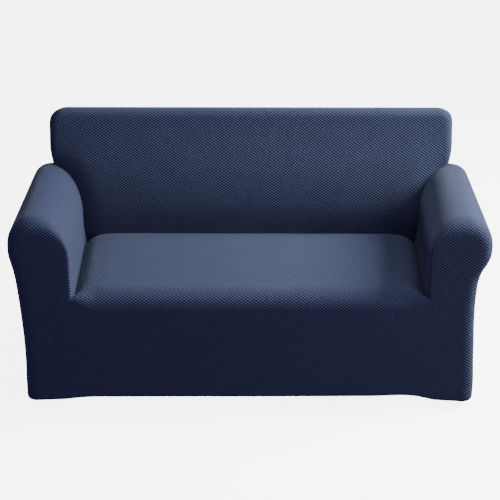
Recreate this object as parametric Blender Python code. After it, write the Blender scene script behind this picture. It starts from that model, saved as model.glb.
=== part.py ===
"""Stretch slipcover for a two-seat sofa with rolled arms, standing hollow, as it is when fitted.

The outer face of the whole cover is worked out first, as rows of points. It is divided into
the panels that a maker would sew, and each panel then gets the thickness of its cloth, inwards.

Sizes are in metres. On the fitted cover, "across" is measured from the middle to either side,
"depth" from the front and "height" from the floor. A side is -1 on the left and 1 on the right.
The finished panels hang from an empty, which puts the origin under the top of the back.
"""

import math

import bpy
import numpy as np
from mathutils import Vector, geometry

LEFT, RIGHT = -1, 1

# Cloth
CLOTH_THICKNESS = 0.002
SEAM_SETBACK = 0.0002        # each panel stops this far short of its seams
SAME_WAY = 0.02              # faces whose normals differ less than this share one inward step
CLOTH_COLOUR = (0.026, 0.036, 0.105, 1.0)
CLOTH_ROUGHNESS = 0.9
SHARP_ANGLE = math.radians(35)

# Seat, with its rounded front edge. It falls away towards the arms.
FRONT_ROUND = 0.038
SEAT_FRONT_HEIGHT = 0.430
SEAT_REAR_HEIGHT = 0.405
SEAT_REAR_DEPTH = 0.590
SEAT_END_DROPS = (0.012, 0.024)   # at the front and at the rear
SEAT_END_RUN = 0.21          # share of the half seat over which it falls
SEAT_SHARES = (0, 0.27, 0.54, 0.79, 0.87, 0.94, 1)
RUN_DEPTHS = (FRONT_ROUND, 0.16, 0.31, 0.46, 0.56)
APRON_STEPS = 5

# Backrest: a block with a leaning, crowned front and a top that falls to the rear.
BACK_LEAN = math.radians(9)
BACK_CROWN = 0.012
CROWN_START = 0.305          # the crown grows from this height, behind the seat
BACK_ROUND = 0.030           # radius of its front and rear edges
BACK_CORNER = 0.054          # radius of its two top corners, seen from the front
CORNER_SHAPE = {LEFT: 1.0, RIGHT: 0.79}   # 1 is a true arc, and less is squarer
TOP_HEIGHT = 0.8585
TOP_FALL = 0.25              # slope of the top
TOP_FALL_RUN = 0.150         # the fall fades out this far down the ends
TOP_HALF_WIDTH = 0.731
HEM_HALF_WIDTH = 0.746
REAR_DEPTH = 0.752           # at the floor
REAR_RAKE = math.radians(2.5)
BACK_STEPS = 6

# Arms: sections of the roll at its front and where it meets the back.
ARM_SECTIONS = (
    # depth, inner side, spring, top across, top, widest, widest height
    (0.000, 0.588, 0.555, 0.7080, 0.690, 0.7955, 0.585),
    (0.620, 0.616, 0.480, 0.7345, 0.652, 0.7955, 0.590),
)
INNER_ARCH_SHARES = (1, 0.965, 0.88, 0.76, 0.60)
OUTER_ARCH_STEPS = 5
OUTER_DRAPE_STEPS = 6
WALL_TOP_HEIGHT = 0.585      # where the fading roll ends, at the rear
ROLL_FADE_STEPS = 4

# How far out the cloth hangs below the widest line of the roll.
OUTER_DRAPE = (
    # height, across on the left side, across on the right side
    (0.020, 0.7620, 0.7600),
    (0.090, 0.7620, 0.7610),
    (0.170, 0.7600, 0.7570),
    (0.245, 0.7610, 0.7540),
    (0.320, 0.7650, 0.7510),
    (0.392, 0.7700, 0.7510),
    (0.430, 0.7735, 0.7530),
    (0.465, 0.7770, 0.7570),
    (0.500, 0.7830, 0.7680),
    (0.530, 0.7900, 0.7850),
    (0.555, 0.7950, 0.7935),
    (0.590, 0.7955, 0.7955),
)

# Hem: rolled under and drawn in. Its lowest line dips at the four corners.
HEM_ROLL = 0.012
HEM_TURN_IN = 0.012
HEM_POINTS = 3               # points of a line that are on the hem
FRONT_HEM = (
    # across from left to right, height of the lowest line
    (-0.760, 0.021),
    (-0.640, 0.026),
    (-0.570, 0.034),
    (-0.410, 0.037),
    (0.000, 0.039),
    (0.410, 0.042),
    (0.560, 0.043),
    (0.640, 0.026),
    (0.760, 0.021),
)
SIDE_HEM = 0.039
HEM_DIP = 0.016
HEM_DIP_RUN = 0.160
REAR_HEM_SHARES = (0.95, 0.89, 0.83, 0.77)   # points of its dip, as shares of the half width

ROUND_STEPS = 3              # facets in a quarter round
STRAIGHT = 0.00001           # an edge that bends less than this is straight


def mix(start, end, share):
    return start + (end - start) * share


def smooth_share(value, start, end):
    """0 up to start, 1 from end, and an S-curve between them."""
    share = min(1.0, max(0.0, (value - start) / (end - start)))
    return share * share * (3 - 2 * share)


def quarter_turns(first, last):
    """Angles of the facets in a quarter round, from step first to step last."""
    step = 1 if last > first else -1
    return [math.radians(90) * i / ROUND_STEPS for i in range(first, last + step, step)]


def table_value(table, column, place):
    """A column of a table at a place in its first column, read on a smooth curve."""
    last = len(table) - 1
    place = min(table[last][0], max(table[0][0], place))
    row = max(i for i in range(last) if table[i][0] <= place)
    span = table[row + 1][0] - table[row][0]
    share = (place - table[row][0]) / span
    slopes = []
    for i in (row, row + 1):
        before, after = table[max(i - 1, 0)], table[min(i + 1, last)]
        slopes.append(span * (after[column] - before[column]) / (after[0] - before[0]))
    square, cube = share**2, share**3
    level = mix(table[row][column], table[row + 1][column], 3 * square - 2 * cube)
    return level + (cube - 2 * square + share) * slopes[0] + (cube - square) * slopes[1]


# -------------------------------------------------------------------- the form under the cloth


def half_width(height):
    """Half the width of the back, and of the wall below it, which flares to the hem."""
    return mix(HEM_HALF_WIDTH, TOP_HALF_WIDTH, height / TOP_HEIGHT)


def back_front(height):
    return SEAT_REAR_DEPTH + (height - SEAT_REAR_HEIGHT) * math.tan(BACK_LEAN)


def back_rear(height):
    return REAR_DEPTH + height * math.tan(REAR_RAKE)


def back_face(across, height):
    """Depth of the back's front face, crowned, and rounded off at its two ends."""
    flat = half_width(height) - BACK_ROUND
    crown = BACK_CROWN * max(0.0, 1 - (across / flat) ** 2)
    swell = math.sin(math.pi * smooth_share(height, CROWN_START, TOP_HEIGHT))
    over = min(BACK_ROUND, max(0.0, abs(across) - flat))
    turn_back = BACK_ROUND - math.sqrt(BACK_ROUND**2 - over**2)
    return back_front(height) - crown * swell + turn_back


def seat_height(depth, end_share):
    """Height of the seat, with end_share 0 in its middle and 1 at the arm."""
    share = max(0.0, depth - FRONT_ROUND) / (SEAT_REAR_DEPTH - FRONT_ROUND)
    fall = max(0.0, 1 - (1 - end_share) / SEAT_END_RUN) ** 2
    return mix(SEAT_FRONT_HEIGHT, SEAT_REAR_HEIGHT, share) - mix(*SEAT_END_DROPS, share) * fall


def arm_sizes(depth):
    """The inner side, spring, top and widest place of the roll at a depth."""
    front, rear = ARM_SECTIONS
    share = min(1.0, depth / rear[0])
    return [mix(a, b, share) for a, b in zip(front[1:], rear[1:])]


def rear_arch_shares():
    """Places on the inner arch that meet the rounded end of the back."""
    inner, _, top = arm_sizes(ARM_SECTIONS[1][0])[:3]
    insets = [top - TOP_HALF_WIDTH + BACK_CORNER]
    insets += [BACK_ROUND * (1 - math.cos(turn)) for turn in quarter_turns(ROUND_STEPS, 0)]
    return tuple(inset / (top - inner) for inset in insets)


ARCH_SHARES = INNER_ARCH_SHARES + rear_arch_shares()
RIDGE = len(ARCH_SHARES)      # the point of an arm section that lies along the top


def hem_height(across, depth, side):
    """Height of the lowest line of the hem below a place on the walls."""
    if depth < FRONT_ROUND:
        return table_value(FRONT_HEM, 1, side * across)
    corner = table_value(FRONT_HEM, 1, side * HEM_HALF_WIDTH)
    from_front = smooth_share(depth, FRONT_ROUND, HEM_DIP_RUN)
    away = max(REAR_DEPTH - BACK_ROUND - depth, HEM_HALF_WIDTH - BACK_ROUND - across)
    near_rear = 1 - smooth_share(away, 0, HEM_DIP_RUN)
    return mix(corner, SIDE_HEM, from_front) - HEM_DIP * near_rear


def hem_turn(foot, inwards):
    """The hem below the foot of a wall: half its roll, and the edge turned inwards."""
    across, depth, height = foot
    points = []
    for turn in (math.radians(45), math.radians(90)):
        reach = HEM_ROLL * (1 - math.cos(turn))
        points.append((reach, height - HEM_ROLL * math.sin(turn)))
    points.append((HEM_ROLL + HEM_TURN_IN, height - HEM_ROLL))
    return [
        (across + inwards[0] * reach, depth + inwards[1] * reach, level)
        for reach, level in points
    ]


def arm_section(depth, side, foot):
    """A section of an arm, from the seat over the roll, and down to the foot of its wall.

    Each point comes with its outward direction: (across, height, out, up).
    """
    inner, spring, top, top_height, widest, widest_height = arm_sizes(depth)
    points = [(inner, seat_height(depth, 1), -1.0, 0.0)]
    for share in ARCH_SHARES:
        rise = math.sqrt(1 - share**2)
        out = Vector((-share / (top - inner), rise / (top_height - spring))).normalized()
        points.append((mix(top, inner, share), mix(spring, top_height, rise), *out))
    for step in range(1, OUTER_ARCH_STEPS + 1):
        turn = math.radians(90) * step / OUTER_ARCH_STEPS
        reach, rise = math.sin(turn), math.cos(turn)
        out = Vector((reach / (widest - top), rise / (top_height - widest_height)))
        height = mix(widest_height, top_height, rise)
        points.append((mix(top, widest, reach), height, *out.normalized()))
    column = 1 if side == LEFT else 2
    corner = seat_corner(1)[2]
    lengths = ((widest_height, corner, OUTER_DRAPE_STEPS), (corner, foot, APRON_STEPS))
    for start, end, count in lengths:
        for step in range(1, count + 1):
            height = mix(start, end, step / count)
            points.append((table_value(OUTER_DRAPE, column, height), height, 1.0, 0.0))
    return points


# ------------------------------------------------------------------------- lines of the cover


def seat_corner(turn_share):
    """The crease of seat and arm over the front edge: share 0 on the seat, 1 on the front."""
    turn = math.radians(90) * turn_share
    drop = FRONT_ROUND * (1 - math.cos(turn))
    depth = FRONT_ROUND * (1 - math.sin(turn))
    return arm_sizes(FRONT_ROUND)[0] + drop, depth, seat_height(0, 1) - drop


def seat_rear(end_share):
    """The crease of seat and back."""
    across = end_share * ARM_SECTIONS[1][1]
    height = seat_height(SEAT_REAR_DEPTH, end_share)
    return across, back_face(across, height), height


def seat_line(end_share, side):
    """A line along the seat from its rear crease, over the front edge, down to the hem."""
    line = [seat_rear(end_share)]
    for depth in reversed(RUN_DEPTHS):
        across = end_share * arm_sizes(depth)[0]
        line.append((across, depth, seat_height(depth, end_share)))
    end_fall = seat_height(0, end_share) - seat_height(0, 1)
    for step in range(1, ROUND_STEPS):
        across, depth, height = seat_corner(step / ROUND_STEPS)
        line.append((end_share * across, depth, height + end_fall))
    return line + front_line(end_share, side)


def front_line(end_share, side):
    """A line down the front, from below the rounded edge to the end of the hem."""
    across = end_share * seat_corner(1)[0]
    top = seat_height(0, end_share) - FRONT_ROUND
    foot = hem_height(across, 0, side) + HEM_ROLL
    heights = [mix(top, foot, step / APRON_STEPS) for step in range(APRON_STEPS + 1)]
    line = [(across, 0.0, height) for height in heights]
    return line + hem_turn(line[-1], (0, 1))


def arm_front_station(side, turn):
    """A line over the arm where it rounds the front edge: turn 0 on the arm, 90 on its front."""
    inset = FRONT_ROUND * (1 - math.cos(turn))
    depth = FRONT_ROUND * (1 - math.sin(turn))
    foot = hem_height(HEM_HALF_WIDTH - inset, depth, side) + HEM_ROLL
    station = [seat_corner(turn / math.radians(90))]
    for across, height, out, up in arm_section(FRONT_ROUND, side, foot)[1:]:
        station.append((across - inset * out, depth, height - inset * up))
    return station + hem_turn(station[-1], (-math.cos(turn), math.sin(turn)))


def arm_run_station(side, depth):
    """A plain line over the arm along its length."""
    foot = hem_height(HEM_HALF_WIDTH, depth, side) + HEM_ROLL
    section = arm_section(depth, side, foot)
    station = [(across, depth, height) for across, height, _, _ in section]
    return station + hem_turn(station[-1], (-1, 0))


def arm_back_station(side):
    """The line where the arm meets the front of the back, and down the wall behind it."""
    depth = ARM_SECTIONS[1][0]
    crease = [seat_rear(1)]
    for across, _, height in arm_run_station(side, depth)[1:RIDGE]:
        crease.append((across, back_face(across, height), height))
    return crease + wall_station(side, 0)[RIDGE:]


def wall_station(side, share):
    """A line down the wall under the end of the back, where the roll fades out rearwards."""
    ridge_height = ARM_SECTIONS[1][4]
    start = back_front(ridge_height) + BACK_ROUND
    end = back_rear(0) - BACK_ROUND
    foot = hem_height(HEM_HALF_WIDTH, mix(start, end, share), side) + HEM_ROLL
    fade = smooth_share(share, 0, 1)
    station = [None] * RIDGE
    for across, height, _, _ in arm_section(ARM_SECTIONS[1][0], side, foot)[RIDGE:]:
        wall_share = (height - foot) / (ridge_height - foot)
        height = mix(height, mix(foot, WALL_TOP_HEIGHT, wall_share), share)
        depth = mix(start, back_rear(height) - BACK_ROUND, share)
        station.append((mix(across, half_width(height), fade), depth, height))
    ridge_height = station[RIDGE][2]
    station[RIDGE] = (half_width(ridge_height), station[RIDGE][1], ridge_height)
    return station + hem_turn(station[-1], (-1, 0))


def arm_rear_station(side, turn):
    """A line down the wall where it rounds the rear corner, to the rear at a turn of 90."""
    inset = BACK_ROUND * (1 - math.cos(turn))
    wall = wall_station(side, 1)[RIDGE:-HEM_POINTS]
    station = [None] * RIDGE
    for across, depth, height in wall:
        station.append((across - inset, depth + BACK_ROUND * math.sin(turn), height))
    return station + hem_turn(station[-1], (-math.cos(turn), -math.sin(turn)))


def back_levels():
    """The nested lines round the edge of the back, from its rear face to its front face.

    Each is (inset from the outline, depth behind the front face or None, depth before the
    rear face or None).
    """
    levels = []
    for turn in quarter_turns(ROUND_STEPS, 0):
        levels.append((BACK_ROUND * (1 - math.cos(turn)), None, BACK_ROUND * (1 - math.sin(turn))))
    for turn in quarter_turns(0, ROUND_STEPS):
        levels.append((BACK_ROUND * (1 - math.cos(turn)), BACK_ROUND * (1 - math.sin(turn)), None))
    return levels


BACK_LEVELS = back_levels()
LEVELS = len(BACK_LEVELS)
FRONT_LEVEL = LEVELS // 2     # the first level on the front side


def level_depth(level, across, height):
    _, behind_front, before_rear = BACK_LEVELS[level]
    if behind_front is None:
        return back_rear(height) - before_rear
    if level == LEVELS - 1:
        return back_face(across, height)
    return back_front(height) + behind_front


def level_point(level, height, across=None):
    """A point on a level, lowered by the fall of the top. Without across, it is on the end."""
    place = half_width(height) - BACK_LEVELS[level][0] if across is None else across
    behind = max(0.0, level_depth(level, place, height) - back_front(height))
    height -= TOP_FALL * behind * smooth_share(height, TOP_HEIGHT - TOP_FALL_RUN, TOP_HEIGHT)
    if across is None:
        place = half_width(height) - BACK_LEVELS[level][0]
    return place, level_depth(level, place, height), height


def corner_point(column, row, side):
    """A point of the top corner. Columns and rows both count levels, inwards from the rear."""
    column_share, row_share = 1 - column / LEVELS, 1 - row / LEVELS
    if column_share >= row_share:
        turn = math.radians(45) * row_share / column_share
    else:
        turn = math.radians(90) - math.radians(45) * column_share / row_share
    level = min(column, row)
    radius = BACK_CORNER - BACK_LEVELS[level][0]
    reach = radius * math.cos(turn) ** CORNER_SHAPE[side]
    rise = radius * math.sin(turn) ** CORNER_SHAPE[side]
    _, _, height = level_point(level, TOP_HEIGHT - BACK_CORNER + rise)
    across = half_width(height) - BACK_CORNER + reach
    return across, level_depth(level, across, height), height


def back_feet(side):
    """The lowest points of each of the back's lines, from its rear round the end to its middle.

    A line that ends on the roof of the arm has one. From the arm's inner side to the middle
    a line has two: one level with the spring of the roll, and one in the crease of the seat.
    """
    ends = [arm_rear_station(side, turn)[RIDGE] for turn in quarter_turns(ROUND_STEPS, 0)]
    ends += reversed(arm_back_station(side)[2:RIDGE + 1])
    feet = [[end] for end in ends]
    spring_height = ARM_SECTIONS[1][2]
    for share in reversed(SEAT_SHARES):
        crease = seat_rear(share)
        feet.append([level_point(LEVELS - 1, spring_height, crease[0]), crease])
    return feet


def back_lines(side):
    """Lines down the inside back, from its rear round the end to its middle."""
    lines = []
    for column, feet in enumerate(back_feet(side)):
        across, _, end_height = feet[0]
        on_end = column < LEVELS
        if on_end:
            across = None
        line = []
        for row in range(LEVELS):
            if on_end:
                line.append(corner_point(column, row, side))
            else:
                height = TOP_HEIGHT - BACK_LEVELS[row][0]
                line.append(level_point(row, height, across))
        for step in range(BACK_STEPS):
            height = mix(TOP_HEIGHT - BACK_CORNER, end_height, step / BACK_STEPS)
            line.append(level_point(min(column, LEVELS - 1), height, across))
        lines.append(line + feet)
    return lines


# -------------------------------------------------------------------------------------- panels


def on_side(places, side):
    return [place and (side * place[0], place[1], place[2]) for place in places]


def key_of(place):
    return tuple(round(value, 6) + 0.0 for value in place)


def turned_over(corners):
    """A face seen from its other side. It starts at the same corner, and so splits alike."""
    return corners[:1] + corners[:0:-1]


def bends_of(places):
    """The places without those that lie on a straight line between their neighbours."""
    kept = places[:1]
    for place, following in zip(places[1:], places[2:]):
        before, here = Vector(place) - Vector(kept[-1]), Vector(following) - Vector(kept[-1])
        if before.cross(here.normalized()).length > STRAIGHT:
            kept.append(place)
    return kept + places[-1:]


class Panel:
    """The outer face of a panel. Faces run counter-clockwise, seen from outside."""

    def __init__(self, mirrored=False):
        self.points = []
        self.faces = []
        self.index = {}
        self.mirrored = mirrored

    def point(self, place):
        key = key_of(place)
        if key not in self.index:
            self.index[key] = len(self.points)
            self.points.append(Vector(place))
        return self.index[key]

    def face(self, places):
        corners = list(dict.fromkeys(self.point(place) for place in places))
        if len(corners) > 2:
            self.faces.append(turned_over(corners) if self.mirrored else corners)

    def strip(self, line, beside, between_feet=()):
        """Faces between two lines. The last one may have more points between the two feet."""
        for i in range(len(line) - 1):
            last = i == len(line) - 2
            places = [line[i], line[i + 1], *(between_feet if last else ())]
            places += [beside[i + 1], beside[i]]
            if None not in places:
                self.face(places)

    def grid(self, lines):
        for line, beside in zip(lines, lines[1:]):
            self.strip(line, beside)

    def normal(self, face):
        return geometry.normal([self.points[i] for i in face])


def seat_apron():
    panel = Panel()
    lines = [on_side(seat_line(share, LEFT), LEFT) for share in reversed(SEAT_SHARES)]
    lines += [on_side(seat_line(share, RIGHT), RIGHT) for share in SEAT_SHARES[1:]]
    panel.grid(lines)
    return panel


def arm(side):
    """The sleeve of an arm, which goes on along the wall to the rear corner."""
    panel = Panel(mirrored=side == LEFT)
    stations = [arm_front_station(side, turn) for turn in quarter_turns(ROUND_STEPS, 0)]
    stations += [arm_run_station(side, depth) for depth in RUN_DEPTHS[1:]]
    stations.append(arm_back_station(side))
    for step in range(1, ROLL_FADE_STEPS):
        stations.append(wall_station(side, step / ROLL_FADE_STEPS))
    stations += [arm_rear_station(side, turn) for turn in quarter_turns(0, ROUND_STEPS)]
    panel.grid([on_side(station, side) for station in stations])
    return panel


def arm_front(side):
    """The flat front of an arm, inside the rounded edge of the sleeve."""
    panel = Panel(mirrored=side == LEFT)
    edge = arm_front_station(side, math.radians(90))
    seam = front_line(1, side)
    up_the_seam = seam[APRON_STEPS::-1]
    outline = bends_of(edge[:-HEM_POINTS]) + bends_of(up_the_seam)[:-1]
    panel.face(on_side(reversed(outline), side))
    panel.strip(
        on_side(seam[APRON_STEPS:], side), on_side(edge[-HEM_POINTS - 1:], side)
    )
    return panel


def inside_back():
    """The front, top and ends of the back, and its rounded rear edge."""
    panel = Panel()
    for side in (LEFT, RIGHT):
        lines = [on_side(line, side) for line in back_lines(side)]
        ridge = [
            wall_station(side, step / ROLL_FADE_STEPS)[RIDGE]
            for step in range(1, ROLL_FADE_STEPS)
        ]
        panel.mirrored = side == RIGHT
        for i, (line, beside) in enumerate(zip(lines, lines[1:])):
            on_the_end = i == FRONT_LEVEL - 1
            panel.strip(line, beside, on_side(ridge[::-1], side) if on_the_end else ())
    return panel


def outside_back():
    """The flat rear of the cover, inside its rounded edge."""
    panel = Panel()
    halves = {}
    for side in (LEFT, RIGHT):
        lines = back_lines(side)
        wall_edge = arm_rear_station(side, math.radians(90))
        end = wall_edge[RIDGE:-HEM_POINTS][::-1] + lines[0][::-1]
        top = [line[0] for line in lines[1:]]
        upper_edge = bends_of(end + top)[:-1]
        halves[side] = (on_side(upper_edge, side), on_side(wall_edge[-HEM_POINTS - 1:], side))
    hems = [halves[RIGHT][1]]
    for share in REAR_HEM_SHARES + tuple(-share for share in reversed(REAR_HEM_SHARES)):
        across = share * hems[0][0][0]
        foot_height = hem_height(abs(across), REAR_DEPTH, RIGHT) + HEM_ROLL
        foot = (across, back_rear(foot_height), foot_height)
        hems.append([foot] + hem_turn(foot, (0, -1)))
    hems.append(halves[LEFT][1])
    feet = [hem[0] for hem in hems]
    panel.face(halves[LEFT][0] + halves[RIGHT][0][::-1] + feet)
    panel.grid(hems)
    return panel


# ------------------------------------------------------------------------------ cloth as solids


def inward_steps(panels):
    """For each point, the step to the inner face, a thickness behind every face that meets."""
    normals = {}
    for panel in panels:
        for face in panel.faces:
            for i in face:
                normals.setdefault(key_of(panel.points[i]), []).append(panel.normal(face))
    steps = {}
    for key, around in normals.items():
        outward = np.linalg.lstsq(np.array(around), np.ones(len(around)), rcond=SAME_WAY)[0]
        steps[key] = Vector(outward) * -CLOTH_THICKNESS
    return steps


def rim_of(panel):
    """The panel's edges that bound one face only, and its points' steps away from the seam."""
    edges = {}
    for face in panel.faces:
        for a, b in zip(face, face[1:] + face[:1]):
            edges[a, b] = panel.normal(face)
    rim = [edge for edge in edges if edge[::-1] not in edges]
    inwards = {}
    for a, b in rim:
        along = (panel.points[b] - panel.points[a]).normalized()
        away = edges[a, b].cross(along).normalized()
        inwards.setdefault(a, []).append(away)
        inwards.setdefault(b, []).append(away)
    setbacks = {}
    for i, (one, other) in inwards.items():
        setbacks[i] = (one + other) * SEAM_SETBACK / (1 + one.dot(other))
    return rim, setbacks


def cloth_material(name):
    material = bpy.data.materials.new(name + "_cloth")
    material.use_nodes = True
    shader = material.node_tree.nodes["Principled BSDF"]
    shader.inputs["Base Color"].default_value = CLOTH_COLOUR
    shader.inputs["Roughness"].default_value = CLOTH_ROUGHNESS
    shader.inputs["Metallic"].default_value = 0.0
    return material


def cloth_solid(name, panel, steps, parent):
    """Gives a panel its thickness, and closes it round its rim."""
    rim, setbacks = rim_of(panel)
    outer, inner = [], []
    for i, point in enumerate(panel.points):
        place = point + setbacks.get(i, Vector())
        outer.append(place)
        inner.append(place + steps[key_of(point)])
    count = len(outer)
    faces = [list(face) for face in panel.faces]
    faces += [[i + count for i in turned_over(face)] for face in panel.faces]
    faces += [[b, a, a + count, b + count] for a, b in rim]
    mesh = bpy.data.meshes.new(name)
    mesh.from_pydata(outer + inner, [], faces)
    mesh.shade_smooth()
    mesh.set_sharp_from_angle(angle=SHARP_ANGLE)
    mesh.materials.append(cloth_material(name))
    cloth = bpy.data.objects.new(name, mesh)
    cloth.parent = parent
    bpy.context.scene.collection.objects.link(cloth)


def mount_place(steps):
    """The middle of the underside of the top of the back."""
    middle_line = back_lines(LEFT)[-1]
    ends = middle_line[FRONT_LEVEL - 1:FRONT_LEVEL + 1]
    places = [Vector(place) + steps[key_of(place)] for place in ends]
    return (places[0] + places[1]) / 2


def slipcover():
    for thing in list(bpy.data.objects):
        bpy.data.objects.remove(thing)
    panels = {
        "inside_back": inside_back(),
        "outside_back": outside_back(),
        "seat_apron": seat_apron(),
        "arm_left": arm(LEFT),
        "arm_right": arm(RIGHT),
        "arm_front_left": arm_front(LEFT),
        "arm_front_right": arm_front(RIGHT),
    }
    steps = inward_steps(panels.values())
    hanger = bpy.data.objects.new("under_the_top", None)
    hanger.location = -mount_place(steps)
    bpy.context.scene.collection.objects.link(hanger)
    for name, panel in panels.items():
        cloth_solid(name, panel, steps, hanger)


slipcover()
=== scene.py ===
import math

import bpy
import numpy as np
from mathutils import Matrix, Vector, kdtree


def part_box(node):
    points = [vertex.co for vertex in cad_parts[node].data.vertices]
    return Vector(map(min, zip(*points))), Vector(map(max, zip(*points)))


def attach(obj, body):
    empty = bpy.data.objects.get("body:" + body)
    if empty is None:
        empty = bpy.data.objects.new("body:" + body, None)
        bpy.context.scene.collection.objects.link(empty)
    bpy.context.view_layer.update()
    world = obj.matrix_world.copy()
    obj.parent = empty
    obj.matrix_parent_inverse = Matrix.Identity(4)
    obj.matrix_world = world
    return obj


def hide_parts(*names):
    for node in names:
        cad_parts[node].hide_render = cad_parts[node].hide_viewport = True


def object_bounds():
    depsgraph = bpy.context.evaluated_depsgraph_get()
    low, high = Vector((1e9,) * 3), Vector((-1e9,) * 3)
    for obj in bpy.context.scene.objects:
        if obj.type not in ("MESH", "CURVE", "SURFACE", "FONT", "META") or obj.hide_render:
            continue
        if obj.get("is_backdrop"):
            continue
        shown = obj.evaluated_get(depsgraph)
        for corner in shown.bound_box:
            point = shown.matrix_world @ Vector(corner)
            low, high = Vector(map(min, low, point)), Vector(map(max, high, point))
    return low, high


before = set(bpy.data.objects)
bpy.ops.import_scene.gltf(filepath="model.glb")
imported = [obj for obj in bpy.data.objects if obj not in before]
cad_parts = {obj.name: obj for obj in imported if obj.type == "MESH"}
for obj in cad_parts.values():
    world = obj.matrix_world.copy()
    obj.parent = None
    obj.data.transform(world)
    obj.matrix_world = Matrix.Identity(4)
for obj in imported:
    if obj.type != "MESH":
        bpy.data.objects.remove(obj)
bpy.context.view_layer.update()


# ---------------------------------------------------------------------------- arm sleeves
# Each sleeve is one panel of stretch jacquard, pulled over the rolled arm from the crease
# of the seat, over the roll and down to the hem, and back along the wall to the rear corner.
# Its front edge is rounded over the front of the arm, where the arm front is sewn to it.

# Places are (across from the middle, depth from the front, height from the floor), in metres.
LEFT, RIGHT = -1, 1
CLOTH_STEP = 0.007

FRONT_ROUND, ARM_TOP_ROUND = 0.038, 0.048
SEAT_EDGE_ROUND, SEAT_END_ROUND = 0.058, 0.014
INNER_EDGE_SHAPE = 0.22   # 1 is a true arc, and less is squarer
CREASE_INSET, SEAM_RUN = 0.012, 0.045
SEAT_FRONT_HEIGHT, SEAT_REAR_HEIGHT = 0.430, 0.405
SEAT_REAR_DEPTH = 0.590
SEAT_END_DROPS = (0.017, 0.024)
SEAT_END_RUN = 0.20
SQUARE_END_START = 0.85   # share of the half width where the seat's edge turns square
BACK_ROUND = 0.030
BACK_CORNER = 0.054
TOP_HEIGHT = 0.8585
TOP_HALF_WIDTH, HEM_HALF_WIDTH = 0.731, 0.746
BACK_LEAN = math.radians(9)
REAR_DEPTH = 0.752
REAR_RAKE = math.radians(2.5)
WALL_TOP_HEIGHT = 0.585

ARM_SECTIONS = (
    # depth, inner side, spring, top across, top, widest, widest height
    (0.000, 0.588, 0.555, 0.7080, 0.690, 0.7955, 0.585),
    (0.620, 0.616, 0.480, 0.7345, 0.652, 0.7955, 0.590),
)
OUTER_DRAPE = (
    # height, across on the left side, across on the right side
    (0.020, 0.7620, 0.7600),
    (0.090, 0.7620, 0.7610),
    (0.170, 0.7600, 0.7570),
    (0.245, 0.7610, 0.7540),
    (0.320, 0.7650, 0.7510),
    (0.392, 0.7700, 0.7510),
    (0.430, 0.7735, 0.7530),
    (0.465, 0.7770, 0.7570),
    (0.500, 0.7830, 0.7680),
    (0.530, 0.7900, 0.7850),
    (0.555, 0.7950, 0.7935),
    (0.590, 0.7955, 0.7955),
)
HEM_ROLL, HEM_TURN_IN = 0.012, 0.012
FRONT_HEM = (
    # across from left to right, height of the lowest line
    (-0.760, 0.021),
    (-0.640, 0.026),
    (-0.570, 0.034),
    (-0.410, 0.037),
    (0.000, 0.039),
    (0.410, 0.042),
    (0.560, 0.043),
    (0.640, 0.026),
    (0.760, 0.021),
)
SIDE_HEM, HEM_DIP, HEM_DIP_RUN = 0.039, 0.016, 0.160

SLEEVE_FLAT = (1.00, 0.86)
FRONT_WEAVE_FADE = (0.070, 0.130)   # how far back the front's weave gives way
# Rough lengths of the parts of a line over the arm, and of the arm, for their point counts.
SIDE_LENGTH, ARCH_LENGTH, OUTER_LENGTH, WALL_LENGTH = 0.17, 0.09, 0.15, 0.34
ARM_LENGTH = 0.56


def mix(start, end, share):
    return start + (end - start) * share


def smooth_share(value, start, end):
    share = np.clip((value - start) / (end - start), 0.0, 1.0)
    return share * share * (3 - 2 * share)


def steps(length):
    return max(2, round(length / CLOTH_STEP))


def closing_in(count):
    """Shares from 0 to 1 that lie closer and closer together towards 1."""
    return 1 - (1 - np.arange(count + 1) / count) ** 1.5


def table_value(table, column, place):
    """A column of a table at places in its first column, read on a smooth curve."""
    rows = np.array(table)
    knots, values = rows[:, 0], rows[:, column]
    slopes = np.gradient(values, knots)
    place = np.clip(place, knots[0], knots[-1])
    row = np.clip(np.searchsorted(knots, place, side="right") - 1, 0, len(knots) - 2)
    span = knots[row + 1] - knots[row]
    share = (place - knots[row]) / span
    square, cube = share**2, share**3
    level = mix(values[row], values[row + 1], 3 * square - 2 * cube)
    level = level + (cube - 2 * square + share) * slopes[row] * span
    return level + (cube - square) * slopes[row + 1] * span


def half_width(height):
    return mix(HEM_HALF_WIDTH, TOP_HALF_WIDTH, height / TOP_HEIGHT)


def back_front(height):
    return SEAT_REAR_DEPTH + (height - SEAT_REAR_HEIGHT) * math.tan(BACK_LEAN)


def back_rear(height):
    return REAR_DEPTH + height * math.tan(REAR_RAKE)


def back_face(across, height):
    """Depth of the front face of the back, which is crowned and rounded off at its ends."""
    crown_depth, end_depth, end_run, crown_start = 0.012, 0.012, 0.14, 0.305
    flat = half_width(height) - BACK_ROUND
    crown = crown_depth * np.maximum(0.0, 1 - (across / flat) ** 2)
    from_end = np.clip(1 - (flat - np.abs(across)) / end_run, 0.0, 1.0)
    crown = crown + end_depth * (1 - from_end**2)
    swell = np.sin(math.pi * smooth_share(height, crown_start, TOP_HEIGHT))
    over = np.clip(np.abs(across) - flat, 0.0, BACK_ROUND)
    turn_back = BACK_ROUND - np.sqrt(BACK_ROUND**2 - over**2)
    return back_front(height) - crown * swell + turn_back


def seat_height(depth, end_share):
    """Height of the seat, which falls away to its ends and is a little crowned."""
    crown_height = 0.012
    share = (np.clip(depth, FRONT_ROUND, SEAT_REAR_DEPTH) - FRONT_ROUND) / (
        SEAT_REAR_DEPTH - FRONT_ROUND
    )
    fall = np.maximum(0.0, 1 - (1 - end_share) / SEAT_END_RUN) ** 2
    crown = crown_height * 4 * share * (1 - share) * (1 - end_share**4)
    height = mix(SEAT_FRONT_HEIGHT, SEAT_REAR_HEIGHT, share) + crown
    return height - mix(*SEAT_END_DROPS, share) * fall


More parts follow.
